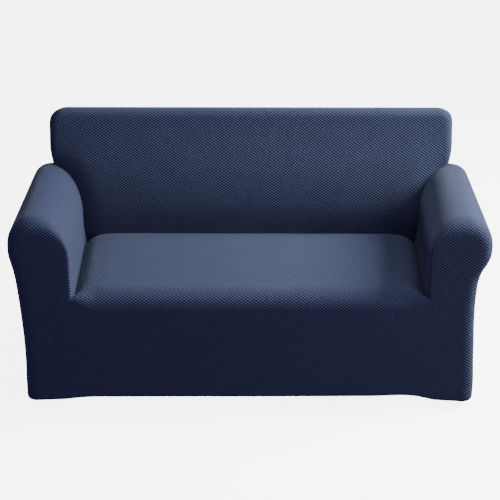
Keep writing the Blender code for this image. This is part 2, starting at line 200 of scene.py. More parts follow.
def arm_sizes(depth):
    front, rear = ARM_SECTIONS
    share = min(1.0, depth / rear[0])
    return [mix(a, b, share) for a, b in zip(front[1:], rear[1:])]


def edge_turn(turn, shape, size):
    """Inset and depth on a rounded edge: turn 0 is where it begins, 90 is on its front."""
    inset = size * (1 - max(0.0, math.cos(turn)) ** shape)
    return inset, size * (1 - max(0.0, math.sin(turn)) ** shape)


def seat_drop(depth, size):
    """How far the seat has fallen on the arc of its front edge."""
    return size - np.sqrt(size**2 - np.maximum(0.0, size - depth) ** 2)


def seat_corner(turn):
    """The crease of seat and arm over the front edge: turn 0 on the seat, 90 on the front."""
    inset, depth = edge_turn(turn, INNER_EDGE_SHAPE, FRONT_ROUND)
    height = float(seat_height(0, 1)) - float(seat_drop(depth, SEAT_END_ROUND))
    return arm_sizes(FRONT_ROUND)[0] + min(inset, CREASE_INSET), depth, height


def hem_height(across, depth, side):
    """Height of the lowest line of the hem below places on the walls."""
    if depth < FRONT_ROUND:
        return table_value(FRONT_HEM, 1, side * across)
    corner = table_value(FRONT_HEM, 1, side * HEM_HALF_WIDTH)
    from_front = smooth_share(depth, FRONT_ROUND, HEM_DIP_RUN)
    away = np.maximum(
        REAR_DEPTH - BACK_ROUND - depth, HEM_HALF_WIDTH - BACK_ROUND - across
    )
    near_rear = 1 - smooth_share(away, 0, HEM_DIP_RUN)
    return mix(corner, SIDE_HEM, from_front) - HEM_DIP * near_rear


# The points of one line over an arm, as shares: up the inner side, over the inner arch to
# the ridge, over the outer arch, down the hanging side, down the wall, and round the hem.
ROUND_TURNS = np.radians(np.linspace(0, 90, 7))
CORNER_RINGS = 3
inner, _, top_across = arm_sizes(ARM_SECTIONS[1][0])[:3]
arch_span = top_across - inner
corner_share = (top_across - TOP_HALF_WIDTH + BACK_CORNER) / arch_span
round_shares = BACK_ROUND * (1 - np.cos(ROUND_TURNS[::-1])) / arch_span
SIDE_SHARES = 1 - closing_in(steps(SIDE_LENGTH))[::-1]
PLAIN_ARCH_SHARES = mix(1, corner_share, 1 - closing_in(steps(ARCH_LENGTH))[::-1])
ARCH_SHARES = np.concatenate([
    PLAIN_ARCH_SHARES[1:],
    np.linspace(corner_share, round_shares[0], CORNER_RINGS + 1)[1:],
    round_shares[1:],
])
RIDGE = len(SIDE_SHARES) + len(ARCH_SHARES) - 1
OUTER_TURNS = np.radians(np.linspace(0, 90, steps(OUTER_LENGTH) + 1)[1:])
DRAPE_SHARES = np.linspace(0, 1, RIDGE - len(OUTER_TURNS) + 1)[1:]
WALL_SHARES = np.linspace(0, 1, steps(WALL_LENGTH) + 1)
HEM_TURNS = np.radians(np.linspace(0, 90, 5)[1:])
HEM_FLATS = np.array([0.5, 1.0])
HEM_POINTS = len(HEM_TURNS) + len(HEM_FLATS)


def hem_turn(foot, inwards):
    """The hem below a foot: half its roll, and the edge that is turned inwards."""
    reach = np.concatenate([
        HEM_ROLL * (1 - np.cos(HEM_TURNS)), HEM_ROLL + HEM_TURN_IN * HEM_FLATS
    ])
    drop = np.concatenate([HEM_ROLL * np.sin(HEM_TURNS), np.full(len(HEM_FLATS), HEM_ROLL)])
    across = foot[0] + inwards[0] * reach
    depth = foot[1] + inwards[1] * reach
    return np.stack([across, depth, foot[2] - drop], axis=-1)


def arm_section(section_depth, crease_height, side, foot):
    """Across, height and outward direction of the points of a line, without its hem."""
    inner, spring, top, top_height, widest, widest_height = arm_sizes(section_depth)
    ones, zeros = np.ones(len(SIDE_SHARES)), np.zeros(len(SIDE_SHARES))
    side_part = (inner * ones, mix(crease_height, spring, SIDE_SHARES), -ones, zeros)
    rise = np.sqrt(1 - ARCH_SHARES**2)
    out, up = -ARCH_SHARES / (top - inner), rise / (top_height - spring)
    length = np.hypot(out, up)
    arch = (
        mix(top, inner, ARCH_SHARES), mix(spring, top_height, rise), out / length, up / length
    )
    reach, rise = np.sin(OUTER_TURNS), np.cos(OUTER_TURNS)
    out, up = reach / (widest - top), rise / (top_height - widest_height)
    length = np.hypot(out, up)
    outer = (
        mix(top, widest, reach), mix(widest_height, top_height, rise), out / length, up / length
    )
    corner = seat_corner(math.radians(90))[2]
    heights = np.concatenate([
        mix(widest_height, corner, DRAPE_SHARES), mix(corner, foot, WALL_SHARES[1:])
    ])
    column = 1 if side == LEFT else 2
    hanging = table_value(OUTER_DRAPE, column, heights)
    ones, zeros = np.ones(len(heights)), np.zeros(len(heights))
    parts = (side_part, arch, outer, (hanging, heights, ones, zeros))
    return [np.concatenate(column) for column in zip(*parts)]


def arm_front_line(side, turn):
    """A line over the arm where it rounds the front edge: turn 0 on the arm, 90 on its front.

    The edge is squarer on the inner side of the arm, and rounder on its top.
    """
    inset, depth = edge_turn(turn, 1.0, FRONT_ROUND)
    crease = seat_corner(turn)
    foot = float(hem_height(HEM_HALF_WIDTH - inset, depth, side)) + HEM_ROLL
    across, height, out, up = arm_section(FRONT_ROUND, crease[2], side, foot)
    shape = mix(1.0, INNER_EDGE_SHAPE, np.maximum(0.0, -out) ** 2)
    size = mix(FRONT_ROUND, ARM_TOP_ROUND, np.maximum(0.0, up) ** 2)
    insets, depths = np.array([edge_turn(turn, *edge) for edge in zip(shape, size)]).T
    line = np.stack([across - insets * out, depths, height - insets * up], axis=-1)
    line[:len(SIDE_SHARES), 2] = height[:len(SIDE_SHARES)]
    line[0] = crease
    return np.concatenate([line, hem_turn(line[-1], (-math.cos(turn), math.sin(turn)))])


def wall_line(side, share):
    """A line down the wall under the end of the back, where the roll fades out rearwards."""
    ridge_height = ARM_SECTIONS[1][4]
    start = back_front(ridge_height) + BACK_ROUND
    end = back_rear(0) - BACK_ROUND
    foot = float(hem_height(HEM_HALF_WIDTH, mix(start, end, share), side)) + HEM_ROLL
    across, height, _, _ = arm_section(ARM_SECTIONS[1][0], SEAT_REAR_HEIGHT, side, foot)
    across, height = across[RIDGE:], height[RIDGE:]
    wall_share = (height - foot) / (ridge_height - foot)
    height = mix(height, mix(foot, WALL_TOP_HEIGHT, wall_share), share)
    across = mix(across, half_width(height), smooth_share(share, 0, 1))
    across[0] = half_width(height[0])
    depth = mix(start, back_rear(height) - BACK_ROUND, share)
    line = np.stack([across, depth, height], axis=-1)
    return np.concatenate([line, hem_turn(line[-1], (-1, 0))])


def wall_rear_line(side, turn):
    """A line down the wall where it rounds the rear corner, to the rear at a turn of 90."""
    wall = wall_line(side, 1)[:-HEM_POINTS]
    inset = BACK_ROUND * (1 - math.cos(turn))
    line = wall + np.array([-inset, BACK_ROUND * math.sin(turn), 0.0])
    return np.concatenate([line, hem_turn(line[-1], (-math.cos(turn), -math.sin(turn)))])


def arm_back_line(side):
    """The crease of the arm and the front of the back, and the wall line that goes on from it."""
    crease_height = float(seat_height(SEAT_REAR_DEPTH, 1))
    across, height, _, _ = arm_section(ARM_SECTIONS[1][0], crease_height, side, SIDE_HEM)
    across, height = across[:RIDGE], height[:RIDGE]
    crease = np.stack([across, back_face(across, height), height], axis=-1)
    return np.concatenate([crease, wall_line(side, 0)])


RUN_SHARES = closing_in(steps(ARM_LENGTH))
FADE_SHARES = np.linspace(0, 1, 11)


def sleeve_lines(side):
    """All lines of a sleeve over the arm, from its front to where the back begins."""
    lines = [arm_front_line(side, turn) for turn in ROUND_TURNS[::-1]]
    start = lines[-1][:-HEM_POINTS, 1]
    last = arm_back_line(side)
    for share in RUN_SHARES[1:-1]:
        section_depth = mix(FRONT_ROUND, ARM_SECTIONS[1][0], share)
        crease_height = float(seat_height(mix(FRONT_ROUND, SEAT_REAR_DEPTH, share), 1))
        depth = mix(start, last[:-HEM_POINTS, 1], share)
        foot = float(hem_height(HEM_HALF_WIDTH, depth[-1], side)) + HEM_ROLL
        across, height, _, _ = arm_section(section_depth, crease_height, side, foot)
        line = np.stack([across, depth, height], axis=-1)
        lines.append(np.concatenate([line, hem_turn(line[-1], (-1, 0))]))
    return np.array(lines + [last])


def wall_lines(side):
    """The lines of a sleeve down the wall beside the back, round to the rear."""
    lines = [wall_line(side, share) for share in FADE_SHARES]
    lines += [wall_rear_line(side, turn) for turn in ROUND_TURNS[1:]]
    return np.array(lines)


def along(lines):
    """For each point of a grid, how far it is from the first point of its line."""
    lengths = np.linalg.norm(np.diff(lines, axis=1), axis=2)
    return np.concatenate([np.zeros((len(lines), 1)), np.cumsum(lengths, axis=1)], axis=1)


def sleeve_weave(lines, ridge, start):
    """Places of a sleeve's points on its flat cloth, from the top of the arm's front edge."""
    around = along(lines)
    around -= around[:, ridge:ridge + 1]
    back = along(lines[:, ridge:ridge + 1].transpose(1, 0, 2))[0] + start
    top_of_front = arm_sizes(FRONT_ROUND)[3] - ARM_TOP_ROUND
    across = ARM_SECTIONS[0][3] + around
    down = np.broadcast_to(-(top_of_front + back)[:, None], across.shape)
    return np.stack([across, down], axis=-1), back


def sleeve_front_weave(lines):
    """The same, laid out from the arm's flat front, so that its weave runs on over the edge."""
    edge = lines[0]
    back = along(lines.transpose(1, 0, 2)).T
    _, _, out, up = arm_section(FRONT_ROUND, edge[0, 2], RIGHT, SIDE_HEM)
    out = np.concatenate([out, np.ones(HEM_POINTS)])
    up = np.concatenate([up, np.zeros(HEM_POINTS)])
    across = edge[:, 0] + back * out
    down = -(edge[:, 2] + back * up)
    return np.stack([across, down], axis=-1)


class Panel:
    """The outer face of a panel of cloth: grids of points, with their places on the weave."""

    def __init__(self, node, flat, area=None):
        self.node = node
        self.flat = flat
        self.area = area
        self.points, self.weave, self.front_weave = [], [], []
        self.front_shares, self.tension = [], []
        self.faces = []
        self.count = 0

    def grid(
        self, side, points, weave, front_weave=None, front_share=None, tension=None, flip=False
    ):
        """Adds a grid. Its faces look outwards on the right side if it isn't flipped."""
        rows, columns = points.shape[:2]
        if front_weave is None:
            front_weave, front_share = weave, np.zeros((rows, columns))
        mirror = np.array([side, 1, 1])
        self.points.append((points * mirror).reshape(-1, 3))
        self.weave.append((weave * mirror[:2]).reshape(-1, 2))
        self.front_weave.append((front_weave * mirror[:2]).reshape(-1, 2))
        self.front_shares.append(front_share.reshape(-1))
        self.tension.append(np.zeros(rows * columns) if tension is None else tension.reshape(-1))
        index = np.arange(rows * columns).reshape(rows, columns) + self.count
        corners = [index[:-1, :-1], index[:-1, 1:], index[1:, 1:], index[1:, :-1]]
        if flip != (side == LEFT):
            corners.reverse()
        self.faces.append(np.stack(corners, axis=-1).reshape(-1, 4))
        self.count += rows * columns


panels = []
for side, name in ((LEFT, "left"), (RIGHT, "right")):
    sleeve = Panel("arm_" + name, SLEEVE_FLAT)
    lines = sleeve_lines(side)
    weave, back = sleeve_weave(lines, RIDGE, 0.0)
    front_weave = sleeve_front_weave(lines)
    fading = 1 - smooth_share(back, *FRONT_WEAVE_FADE)
    front_share = np.broadcast_to(fading[:, None], weave.shape[:2])
    sleeve.grid(side, lines, weave, front_weave, front_share)
    lines = wall_lines(side)
    sleeve.grid(side, lines, sleeve_weave(lines, 0, back[-1])[0])
    panels.append(sleeve)


# ----------------------------------------------------------------------------- arm fronts
# The front of each arm is a flat panel of the same cloth, sewn into the rounded edge of the
# sleeve and to the apron beside it. It ends in the hem. The apron's lines are worked out
# here, because the arm front starts from the last of them.

ARM_FRONT_FLAT = (0.145, 0.62)
ARM_FRONT_AREA = 0.062
ARM_FRONT_COLUMNS = 14


def seat_edge(end_share):
    """Depth at which the seat's front edge begins, its round and its shape.

    It is round between the arms, and nearly square where it meets them.
    """
    near_arm = float(smooth_share(end_share, SQUARE_END_START, 1.0))
    reach = mix(SEAT_EDGE_ROUND, FRONT_ROUND, near_arm)
    size = mix(SEAT_EDGE_ROUND, SEAT_END_ROUND, near_arm)
    return reach, size, mix(1.0, INNER_EDGE_SHAPE, near_arm)


def apron_line(end_share, side):
    """A line down the front, from below the rounded edge of the seat, without its hem."""
    corner = seat_corner(math.radians(90))[0]
    seam = arm_sizes(FRONT_ROUND)[0] + FRONT_ROUND
    reach, size, _ = seat_edge(end_share)
    top = float(seat_height(reach, end_share)) - size
    foot = float(hem_height(end_share * seam, 0, side)) + HEM_ROLL
    heights = mix(top, foot, WALL_SHARES)
    across = end_share * mix(corner, seam, smooth_share(top - heights, 0, SEAM_RUN))
    return np.stack([across, np.zeros(len(heights)), heights], axis=-1)


for side, name in ((LEFT, "left"), (RIGHT, "right")):
    arm_front = Panel("arm_front_" + name, ARM_FRONT_FLAT, ARM_FRONT_AREA)
    edge = arm_front_line(side, math.radians(90))
    seam = apron_line(1, side)
    body = edge[:-HEM_POINTS]
    inner_chain = np.concatenate([seam[::-1], body[1:RIDGE + 1]])
    outer_chain = body[:RIDGE - 1:-1]
    shares = np.linspace(0, 1, ARM_FRONT_COLUMNS + 1)[None, :, None]
    front = mix(inner_chain[:, None], outer_chain[:, None], shares)
    arm_front.grid(side, front, np.stack([front[..., 0], -front[..., 2]], axis=-1))
    seam_hem = np.concatenate([seam[-1:], hem_turn(seam[-1], (0, 1))])
    hem = mix(seam_hem[:, None], edge[-HEM_POINTS - 1:, None], shares)
    hem_weave = np.stack([hem[..., 0], hem[..., 1] - hem[..., 2]], axis=-1)
    arm_front.grid(side, hem, hem_weave, flip=True)
    panels.append(arm_front)


# ------------------------------------------------------------------------- seat and apron
# One panel of the same cloth covers the seat, rolls over its front edge and hangs down the
# front to the hem. It falls away a little towards the arms, where it is tucked in.

SEAT_FLAT = (1.22, 0.98)
APRON_TIGHT_BELOW = (0.035, 0.100)   # the apron is pulled tight from so far below the seat
SEAT_END_SHARES = closing_in(steps(ARM_SECTIONS[1][1]))


def seat_rear(end_share):
    """The crease of seat and back."""
    across = end_share * ARM_SECTIONS[1][1]
    height = seat_height(SEAT_REAR_DEPTH, end_share)
    return across, back_face(across, height), height


def seat_line(end_share, side):
    """A line from the rear crease of the seat, over its front edge, down to the hem's end."""
    rear = seat_rear(end_share)
    reach, size, shape = seat_edge(end_share)
    shares = RUN_SHARES[::-1]
    across = [arm_sizes(mix(FRONT_ROUND, ARM_SECTIONS[1][0], share))[0] for share in shares]
    depth = mix(reach, rear[1], shares)
    height = seat_height(mix(reach, SEAT_REAR_DEPTH, shares), end_share)
    run = np.stack([end_share * np.array(across), depth, height], axis=-1)
    edge = []
    for turn in ROUND_TURNS[1:-1]:
        depth = edge_turn(turn, shape, reach)[1]
        edge.append((end_share * seat_corner(turn)[0], depth, height[-1] - seat_drop(depth, size)))
    front = apron_line(end_share, side)
    return np.concatenate([run, edge, front, hem_turn(front[-1], (0, 1))])


seat = Panel("seat_apron", SEAT_FLAT)
for side in (LEFT, RIGHT):
    lines = np.array([seat_line(share, side) for share in SEAT_END_SHARES])
    down = along(lines)
    front_start = len(RUN_SHARES) + len(ROUND_TURNS) - 2
    down -= down[:, front_start:front_start + 1] + lines[:, front_start:front_start + 1, 2]
    tension = smooth_share(SEAT_FRONT_HEIGHT - lines[..., 2], *APRON_TIGHT_BELOW)
    seat.grid(side, lines, np.stack([lines[..., 0], down], axis=-1), tension=tension)
panels.append(seat)


# --------------------------------------------------------------------------------- backrest
# The inside back is one panel: the leaning front of the back, carried over the top and
# round both ends, with all edges rounded. The outside back is the flat rear, sewn to it
# and to the walls, down to the hem.

INSIDE_BACK_FLAT = (1.56, 0.60)
OUTSIDE_BACK_FLAT = (1.43, 0.78)
CORNER_SHAPE = {LEFT: 1.0, RIGHT: 0.79}   # 1 is a true arc, and less is squarer
TOP_FALL, TOP_FALL_RUN = 0.25, 0.150
BACK_END_LENGTH = 0.32
BACK_ROWS = steps(BACK_END_LENGTH)
CORNER_TURNS = np.radians(np.linspace(0, 90, 11)[:-1])
SPRING_HEIGHT = ARM_SECTIONS[1][2]


def level_depth(level, across, height):
    """Depth of a level, which runs round the edge of the back. See back_levels."""
    kind, place = level
    if kind == "rear":
        return back_rear(height) - BACK_ROUND * (1 - math.sin(place))
    if kind == "flat":
        return mix(back_front(height) + BACK_ROUND, back_rear(height) - BACK_ROUND, place)
    if place == ROUND_TURNS[-1]:
        return back_face(across, height)
    return back_front(height) + BACK_ROUND * (1 - math.sin(place))


def inset_of(level):
    return 0.0 if level[0] == "flat" else BACK_ROUND * (1 - math.cos(level[1]))


def fallen(level, height, across=None):
    """Height of the top on a level, lowered by its fall to the rear."""
    place = half_width(height) - inset_of(level) if across is None else across
    behind = np.maximum(0.0, level_depth(level, place, height) - back_front(height))
    fall = TOP_FALL * behind * smooth_share(height, TOP_HEIGHT - TOP_FALL_RUN, TOP_HEIGHT)
    return height - fall


def back_levels(side):
    """The levels round the edge of the back, front to rear, with their lowest points."""
    ridge = arm_back_line(side)
    levels = []
    for i, turn in enumerate(ROUND_TURNS[::-1]):
        levels.append((("front", turn), ridge[RIDGE - len(ROUND_TURNS) + 1 + i]))
    for share in FADE_SHARES[1:]:
        levels.append((("flat", share), wall_line(side, share)[0]))
    for turn in ROUND_TURNS[1:]:
        levels.append((("rear", turn), wall_rear_line(side, turn)[0]))
    return levels


PLAIN_ACROSS = np.concatenate([
    mix(top_across, inner, PLAIN_ARCH_SHARES[::-1]), inner * SEAT_END_SHARES[-2::-1]
])


def contour(level, foot, side):
    """A line on a level, from its foot up the end, round the corner, to the top's middle."""
    heights = mix(foot[2], TOP_HEIGHT - BACK_CORNER, np.arange(1, BACK_ROWS + 1) / BACK_ROWS)
    heights = fallen(level, heights)
    across = half_width(heights) - inset_of(level)
    end = np.stack([across, level_depth(level, across, heights), heights], axis=-1)
    radius = BACK_CORNER - inset_of(level)
    reach = radius * np.cos(CORNER_TURNS[1:]) ** CORNER_SHAPE[side]
    rise = radius * np.sin(CORNER_TURNS[1:]) ** CORNER_SHAPE[side]
    heights = fallen(level, TOP_HEIGHT - BACK_CORNER + rise)
    across = half_width(heights) - BACK_CORNER + reach
    corner = np.stack([across, level_depth(level, across, heights), heights], axis=-1)
    heights = fallen(level, np.full(len(PLAIN_ACROSS), TOP_HEIGHT - inset_of(level)), PLAIN_ACROSS)
    top = np.stack([PLAIN_ACROSS, level_depth(level, PLAIN_ACROSS, heights), heights], axis=-1)
    return np.concatenate([[foot], end, corner, top])


def contour_directions():
    """For the points of a contour, the way in which the cloth unrolls over the edge."""
    turns = np.concatenate([
        np.zeros(BACK_ROWS + 1), CORNER_TURNS[1:], np.full(len(PLAIN_ACROSS), math.pi / 2)
    ])
    return np.stack([np.cos(turns), np.sin(turns)], axis=-1)


def face_weave(points):
    return np.stack([points[..., 0], -points[..., 2] / math.cos(BACK_LEAN)], axis=-1)


def face_grids(edge, depth_at, feet):
    """The flat inside of a contour: a disc in its corner, a strip down its end, and the rest.

    feet are the lowest points from the end to the middle, and may be a line of points each.
    """
    rings = np.arange(CORNER_RINGS + 1) / CORNER_RINGS
    end_top, top_end = BACK_ROWS, BACK_ROWS + len(CORNER_TURNS)
    base = edge[end_top, 2]
    centre = np.array([PLAIN_ACROSS[0], 0.0, base])

    def placed(points):
        points[..., 1] = depth_at(points[..., 0], points[..., 2])
        return points

    disc = placed(mix(edge[end_top:top_end + 1, None], centre, rings[None, :, None]))
    upper_feet = np.stack([PLAIN_ACROSS, PLAIN_ACROSS * 0, PLAIN_ACROSS * 0 + base], axis=-1)
    upper = placed(mix(edge[top_end:, None], upper_feet[:, None], rings[None, :, None]))
    strip_top = disc[0]
    rows = np.arange(BACK_ROWS + 1)[::-1] / BACK_ROWS
    columns = np.concatenate([strip_top, upper[1:, -1]])
    body = placed(mix(feet[:, None], columns[:, None], rows[None, :, None]))
    body[:, -1] = feet
    body[0] = edge[end_top::-1]
    upper[:, 0] = edge[top_end:]
    disc[:, 0] = edge[end_top:top_end + 1]
    return disc, upper, body


inside_back = Panel("inside_back", INSIDE_BACK_FLAT)
outside_back = Panel("outside_back", OUTSIDE_BACK_FLAT)
for side in (LEFT, RIGHT):
    levels = back_levels(side)
    edges = np.array([contour(level, foot, side) for level, foot in levels])
    back = along(edges.transpose(1, 0, 2)).T
    weave = face_weave(edges[0]) + back[..., None] * contour_directions() * np.array([1, -1])
    inside_back.grid(side, edges, weave, flip=True)

    crease = arm_back_line(side)
    strip_feet = crease[len(SIDE_SHARES) - 1:RIDGE - len(ROUND_TURNS) + 2][::-1]
    seat_across = inner * SEAT_END_SHARES[-2::-1]
    seat_feet = np.stack([
        seat_across, back_face(seat_across, SPRING_HEIGHT), np.full(len(seat_across), SPRING_HEIGHT)
    ], axis=-1)
    feet = np.concatenate([strip_feet, seat_feet])
    disc, upper, body = face_grids(edges[0], back_face, feet)
    inside_back.grid(side, disc, face_weave(disc), flip=True)
    inside_back.grid(side, upper, face_weave(upper), flip=True)
    inside_back.grid(side, body, face_weave(body), flip=True)
    low_tops = np.concatenate([strip_feet[-1:], seat_feet])
    low_feet = np.array([seat_rear(share) for share in SEAT_END_SHARES[::-1]])
    low = mix(low_tops[:, None], low_feet[:, None], (1 - SIDE_SHARES[::-1])[None, :, None])
    low[..., 1] = back_face(low[..., 0], low[..., 2])
    inside_back.grid(side, low, face_weave(low), flip=True)

    wall_edge = wall_rear_line(side, ROUND_TURNS[-1])
    ridge_height = wall_edge[0, 2]
    rear_edge = edges[-1]
    strip_across = mix(wall_edge[0, 0], PLAIN_ACROSS[0], np.arange(CORNER_RINGS + 1) / CORNER_RINGS)
    rear_across = np.concatenate([strip_across, PLAIN_ACROSS[1:]])
    feet = np.stack([
        rear_across, np.full(len(rear_across), back_rear(ridge_height)),
        np.full(len(rear_across), ridge_height),
    ], axis=-1)

    for part in face_grids(rear_edge, lambda _, height: back_rear(height), feet):
        outside_back.grid(side, part, part[..., ::2] * np.array([1, -1]))
    wall = wall_edge[:-HEM_POINTS]
    wall_share = (wall[:, 2] - wall[-1, 2]) / (ridge_height - wall[-1, 2])
    foot_heights = hem_height(rear_across, REAR_DEPTH, side) + HEM_ROLL
    foot_heights[0] = wall[-1, 2]
    low_heights = mix(foot_heights[:, None], ridge_height, wall_share[None])
    edge_shares = np.linspace(0, 1, CORNER_RINGS + 1)
    low_across = np.repeat(rear_across[:, None], len(wall), axis=1)
    low_across[:CORNER_RINGS + 1] = mix(
        wall[None, :, 0], PLAIN_ACROSS[0], edge_shares[:, None]
    )
    low = np.stack([low_across, back_rear(low_heights), low_heights], axis=-1)
    outside_back.grid(side, low, low[..., ::2] * np.array([1, -1]))
    hem = np.array([np.concatenate([[line[-1]], hem_turn(line[-1], (0, -1))]) for line in low])
    hem[0] = wall_edge[-HEM_POINTS - 1:]
    hem_weave = np.stack([hem[..., 0], -hem[..., 2] - hem[..., 1] + hem[:, :1, 1]], axis=-1)
    outside_back.grid(side, hem, hem_weave)
panels += [inside_back, outside_back]


# ------------------------------------------------------------------------ stretch jacquard
# One cloth is used for the whole cover: a matt, dark navy stretch jacquard. Its raised
# grains stand in a small diamond lattice, and a fine nap on it catches light that grazes.

WEAVE_ACROSS, WEAVE_DOWN = 0.0140, 0.0100
GRAIN_COLOUR = (0.061, 0.076, 0.131, 1)
GROUND_COLOUR = (0.006, 0.009, 0.029, 1)
NAP_COLOUR = (0.75, 0.88, 1.0, 1)
RELIEF = 0.0009
PATCH_SCALE, PATCH_SPREAD, PATCH_BASE = 9.0, 2.6, -0.7      # which ribs lead, and where
UNEVEN_SCALE, UNEVEN_SPREAD, UNEVEN_BASE = 110.0, 3.2, -0.6   # how the yarn varies
TIGHT_LOSS = -0.5   # what the ribs lose where the cloth is pulled tight
RIB_HEIGHT, MIDDLE_HEIGHT = 0.50, 0.5

jacquard = bpy.data.materials.new("stretch_jacquard")
jacquard.use_nodes = True
nodes, links = jacquard.node_tree.nodes, jacquard.node_tree.links
cloth_shader = nodes["Principled BSDF"]
cloth_shader.inputs["Roughness"].default_value = 0.85
cloth_shader.inputs["Specular IOR Level"].default_value = 0.18
cloth_shader.inputs["Sheen Weight"].default_value = 0.11
cloth_shader.inputs["Sheen Roughness"].default_value = 0.35
cloth_shader.inputs["Sheen Tint"].default_value = NAP_COLOUR


def worked_out(operation, *values):
    """A math node on links and plain numbers."""
    node = nodes.new("ShaderNodeMath")
    node.operation = operation
    for i, value in enumerate(values):
        if isinstance(value, (int, float)):
            node.inputs[i].default_value = value
        else:
            links.new(value, node.inputs[i])
    return node.outputs[0]


def lattice(uv_name, dominance, yarn):
    """Height of the raised grains: two crossed sets of ribs, one stronger than the other."""
    place = nodes.new("ShaderNodeUVMap")
    place.uv_map = uv_name
    split = nodes.new("ShaderNodeSeparateXYZ")
    links.new(place.outputs["UV"], split.inputs[0])
    across = worked_out("DIVIDE", split.outputs["X"], WEAVE_ACROSS)
    down = worked_out("DIVIDE", split.outputs["Y"], WEAVE_DOWN)
    sets = []
    for crossing in ("SUBTRACT", "ADD"):
        phase = worked_out("MULTIPLY", worked_out(crossing, across, down), 2 * math.pi)
        sets.append(worked_out("COSINE", phase))
    falling, rising = sets
    ribs = worked_out("ADD", falling, worked_out("MULTIPLY", rising, dominance))
    return worked_out("MULTIPLY_ADD", worked_out("MULTIPLY", ribs, yarn), RIB_HEIGHT, MIDDLE_HEIGHT)


patches = nodes.new("ShaderNodeTexNoise")
patches.inputs["Scale"].default_value = PATCH_SCALE
patches.inputs["Detail"].default_value = 1.0
object_place = nodes.new("ShaderNodeTexCoord")
links.new(object_place.outputs["Object"], patches.inputs["Vector"])
dominance = worked_out("MULTIPLY_ADD", patches.outputs[0], PATCH_SPREAD, PATCH_BASE)
uneven = nodes.new("ShaderNodeTexNoise")
uneven.inputs["Scale"].default_value = UNEVEN_SCALE
uneven.inputs["Detail"].default_value = 2.0
links.new(object_place.outputs["Object"], uneven.inputs["Vector"])
tightness = nodes.new("ShaderNodeAttribute")
tightness.attribute_name = "tension"
slack = worked_out("MULTIPLY_ADD", tightness.outputs["Fac"], TIGHT_LOSS, 1.0)
variation = worked_out("MULTIPLY_ADD", uneven.outputs[0], UNEVEN_SPREAD, UNEVEN_BASE)
yarn = worked_out("MULTIPLY", variation, slack)
over_the_edge = nodes.new("ShaderNodeAttribute")
over_the_edge.attribute_name = "front_share"
whole = nodes.new("ShaderNodeMix")
links.new(over_the_edge.outputs["Fac"], whole.inputs["Factor"])
links.new(lattice("weave", dominance, yarn), whole.inputs["A"])
links.new(lattice("front_weave", dominance, yarn), whole.inputs["B"])
grain = whole.outputs["Result"]

cloth_colour = nodes.new("ShaderNodeMix")
cloth_colour.data_type = "RGBA"
cloth_colour.inputs["A"].default_value = GROUND_COLOUR
cloth_colour.inputs["B"].default_value = GRAIN_COLOUR
links.new(grain, cloth_colour.inputs["Factor"])
links.new(cloth_colour.outputs["Result"], cloth_shader.inputs["Base Color"])

relief = nodes.new("ShaderNodeBump")
relief.inputs["Distance"].default_value = RELIEF
links.new(grain, relief.inputs["Height"])
links.new(relief.outputs["Normal"], cloth_shader.inputs["Normal"])


# ---------------------------------------------------------------------------------- sewing
# The panels are sewn edge to edge into the cover, with seams that don't show. Where the
# seat, arms and back meet, the cloth is pushed down into the crease, and the cloth of
# every panel is 2 mm thick.

CLOTH_THICKNESS = 0.002
SHARP_CREASE = (0.05, 0.60)
CREASE_RUN_OUT = (0.004, 0.070)   # depths from the front between which a crease fades in
KEY_SIZE = 0.00001
CREASES = (
    # panel that gives way, panel beside it, depth, how far it reaches
    ("seat_apron", "arm_left", 0.020, 0.070),
    ("seat_apron", "arm_right", 0.020, 0.070),
    ("inside_back", "arm_left", 0.012, 0.080),
    ("inside_back", "arm_right", 0.012, 0.080),
    ("inside_back", "seat_apron", 0.014, 0.120),
    ("seat_apron", "inside_back", 0.006, 0.050),
)

shift = Vector((
    0.0,
    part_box("seat_apron")[0].y,
    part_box("arm_left")[1].z - arm_sizes(FRONT_ROUND)[3],
))

# The same point of two panels is one point of the cover.
starts = np.cumsum([0] + [panel.count for panel in panels])
every_point = np.concatenate([np.concatenate(panel.points) for panel in panels])
keys = np.round(every_point / KEY_SIZE).astype(np.int64)
_, first, same = np.unique(keys, axis=0, return_index=True, return_inverse=True)
same = same.reshape(-1)
cover = every_point[first]


def face_normals(points, faces):
    """Area-weighted normals of quads, some of which may have two corners in one point."""
    a, b, c, d = (points[faces[:, i]] for i in range(4))
    return np.cross(c - a, d - b)


def point_normals(points, faces):
    normals = np.zeros_like(points)
    across = face_normals(points, faces)
    for i in range(4):
        np.add.at(normals, faces[:, i], across)
    length = np.linalg.norm(normals, axis=1, keepdims=True)
    return normals / np.maximum(length, 1e-12)


panel_faces = []
for start, panel in zip(starts, panels):
    panel_faces.append(same[np.concatenate(panel.faces) + start])
all_faces = np.concatenate(panel_faces)
normals = point_normals(cover, all_faces)

# Where the seat, the arms and the back meet, one panel gives way to the other, and all the
# cloth near the crease goes with it.
own_normals = {}
met = {}
for panel, faces in zip(panels, panel_faces):
    own_normals[panel.node] = point_normals(cover, faces)
    met[panel.node] = np.unique(faces)
tucked = cover.copy()
for giving, beside, depth, reach in CREASES:
    shared = np.intersect1d(met[giving], met[beside])
    inwards = -own_normals[giving][shared]
    facing = np.einsum("ij,ij->i", -inwards, own_normals[beside][shared])
    inwards *= depth * smooth_share(1 - facing, *SHARP_CREASE)[:, None]
    inwards *= smooth_share(cover[shared, 1], *CREASE_RUN_OUT)[:, None]
    tree = kdtree.KDTree(len(shared))
    for i, point in enumerate(shared):
        tree.insert(cover[point], i)
    tree.balance()
    for i, place in enumerate(cover):
        _, nearest, distance = tree.find(place)
        if distance < reach:
            tucked[i] += inwards[nearest] * (1 - distance / reach) ** 2
cover = tucked
normals = point_normals(cover, all_faces)


